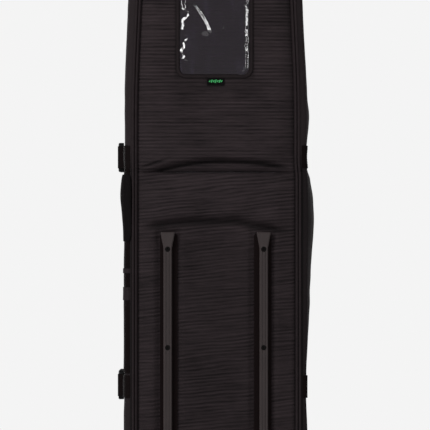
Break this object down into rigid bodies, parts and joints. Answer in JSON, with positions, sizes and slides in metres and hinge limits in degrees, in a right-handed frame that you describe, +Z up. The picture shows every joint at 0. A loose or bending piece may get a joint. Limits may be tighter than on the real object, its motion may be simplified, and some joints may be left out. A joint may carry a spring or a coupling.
{
  "type": "snowboard bag",
  "caption": "Tall padded travel bag for a snowboard, with glide rails on its back, wheels at its foot and a hinged lid closed by a zip and buckled straps.",
  "frame": {"origin": "on the floor under the bag, midway between its sides and midway between back and front faces", "axes": "+Z up the standing bag, +X across its width, -Y out of the back that carries the rails"},
  "size_m": [0.3255, 0.2146, 1.682],
  "materials": {
    "main_fabric": "matte",
    "seam_binding": "matte",
    "foam": "matte",
    "lining": "matte",
    "black_webbing": "matte",
    "handle_padding": "matte",
    "window_binding": "matte",
    "label": "matte",
    "window_film": "gloss",
    "board": "matte",
    "base_moulding": "matte",
    "rail_moulding": "matte",
    "rail_bed": "matte",
    "foot_rubber": "matte",
    "screw_steel": "satin",
    "zip_tape": "matte",
    "zip_coil": "satin",
    "slider_metal": "satin",
    "buckle_plastic": "satin",
    "handle_pin_steel": "satin",
    "wheel_tyre": "matte",
    "wheel_hub": "satin",
    "bearing_steel": "polished"
  },
  "bodies": {
    "shell": {"back_panel_lower": "main_fabric", "back_panel_upper": "main_fabric", "side_panel_left": "main_fabric", "side_panel_right": "main_fabric", "bottom_end_panel": "main_fabric", "top_end_panel": "main_fabric", "hinge_fabric_tray": "main_fabric", "back_seam_binding": "seam_binding", "padding_back": "foam", "padding_sides": "foam", "tray_lining": "lining", "strap_anchors_left": "black_webbing", "strap_anchors_right": "black_webbing", "side_webbing": "black_webbing", "inner_straps": "black_webbing", "window_binding": "window_binding", "label_tab": "label", "window_pane": "window_film", "stiffener_board": "board", "base_cap": "base_moulding", "rail_left": "rail_moulding", "rail_right": "rail_moulding", "rail_beds": "rail_bed", "foot_pad": "foot_rubber", "back_screws": "screw_steel", "back_tee_nuts": "screw_steel", "wheel_axles": "screw_steel", "tray_zip_tape": "zip_tape", "tray_zip_coil": "zip_coil", "buckle_sockets": "buckle_plastic", "top_handle_anchors": "handle_pin_steel"},
    "lid": {"lid_front_panel": "main_fabric", "lid_side_band": "main_fabric", "lid_piping": "seam_binding", "lid_padding": "foam", "lid_lining": "lining", "lid_zip_tape": "zip_tape", "lid_zip_coil": "zip_coil", "hinge_fabric_lid": "main_fabric", "compression_straps": "black_webbing", "front_pocket": "main_fabric", "pocket_zip": "zip_tape"},
    "wheel_left": {"wheel_tyre_left": "wheel_tyre", "wheel_hub_left": "wheel_hub", "wheel_bearings_left": "bearing_steel"},
    "wheel_right": {"wheel_tyre_right": "wheel_tyre", "wheel_hub_right": "wheel_hub", "wheel_bearings_right": "bearing_steel"},
    "slider_upper": {"zip_slider_upper": "slider_metal"},
    "slider_lower": {"zip_slider_lower": "slider_metal"},
    "pull_upper": {"zip_pull_upper": "slider_metal"},
    "pull_lower": {"zip_pull_lower": "slider_metal"},
    "prongs_lower": {"buckle_prongs_lower": "buckle_plastic"},
    "prongs_middle": {"buckle_prongs_middle": "buckle_plastic"},
    "prongs_upper": {"buckle_prongs_upper": "buckle_plastic"},
    "side_handle": {"side_handle": "handle_padding"},
    "top_handle": {"top_handle": "handle_padding"},
    "pocket_slider": {"pocket_slider": "slider_metal"},
    "pocket_pull": {"pocket_pull": "slider_metal"}
  },
  "joints": [
    {"name": "lid_open", "type": "hinge", "parent": "shell", "child": "lid", "pos_m": [0.157, 0.04, 0.51], "axis": [0, 0, -1], "range_deg": [0, 150]},
    {"name": "zip_slider_upper_run", "type": "slide", "parent": "shell", "child": "slider_upper", "axis": [0, 0, 1], "range_m": [0, 0.2]},
    {"name": "zip_slider_lower_run", "type": "slide", "parent": "shell", "child": "slider_lower", "axis": [0, 0, -1], "range_m": [0, 0.58]},
    {"name": "wheel_left_spin", "type": "hinge", "parent": "shell", "child": "wheel_left", "pos_m": [-0.131, -0.072, 0.044], "axis": [1, 0, 0], "continuous": true},
    {"name": "wheel_right_spin", "type": "hinge", "parent": "shell", "child": "wheel_right", "pos_m": [0.131, -0.072, 0.044], "axis": [1, 0, 0], "continuous": true},
    {"name": "zip_pull_upper_swing", "type": "hinge", "parent": "slider_upper", "child": "pull_upper", "pos_m": [-0.1533, 0.04, 0.7285], "axis": [0, 1, 0], "range_deg": [0, 130]},
    {"name": "zip_pull_lower_swing", "type": "hinge", "parent": "slider_lower", "child": "pull_lower", "pos_m": [-0.1533, 0.04, 0.6845], "axis": [0, 1, 0], "range_deg": [0, 130]},
    {"name": "buckle_lower_release", "type": "slide", "parent": "lid", "child": "prongs_lower", "axis": [0, 1, 0], "range_m": [0, 0.03]},
    {"name": "buckle_middle_release", "type": "slide", "parent": "lid", "child": "prongs_middle", "axis": [0, 1, 0], "range_m": [0, 0.03]},
    {"name": "buckle_upper_release", "type": "slide", "parent": "lid", "child": "prongs_upper", "axis": [0, 1, 0], "range_m": [0, 0.03]},
    {"name": "side_handle_lift", "type": "slide", "parent": "shell", "child": "side_handle", "axis": [-1, 0, 0], "range_m": [0, 0.02]},
    {"name": "top_handle_swing", "type": "hinge", "parent": "shell", "child": "top_handle", "pos_m": [0, -0.025, 1.6525], "axis": [1, 0, 0], "range_deg": [-60, 60]},
    {"name": "pocket_slider_run", "type": "slide", "parent": "lid", "child": "pocket_slider", "axis": [1, 0, 0], "range_m": [0, 0.14]},
    {"name": "pocket_pull_swing", "type": "hinge", "parent": "pocket_slider", "child": "pocket_pull", "pos_m": [-0.0765, 0.1008, 1.205], "axis": [0, 0, 1], "range_deg": [0, 130]}
  ]
}
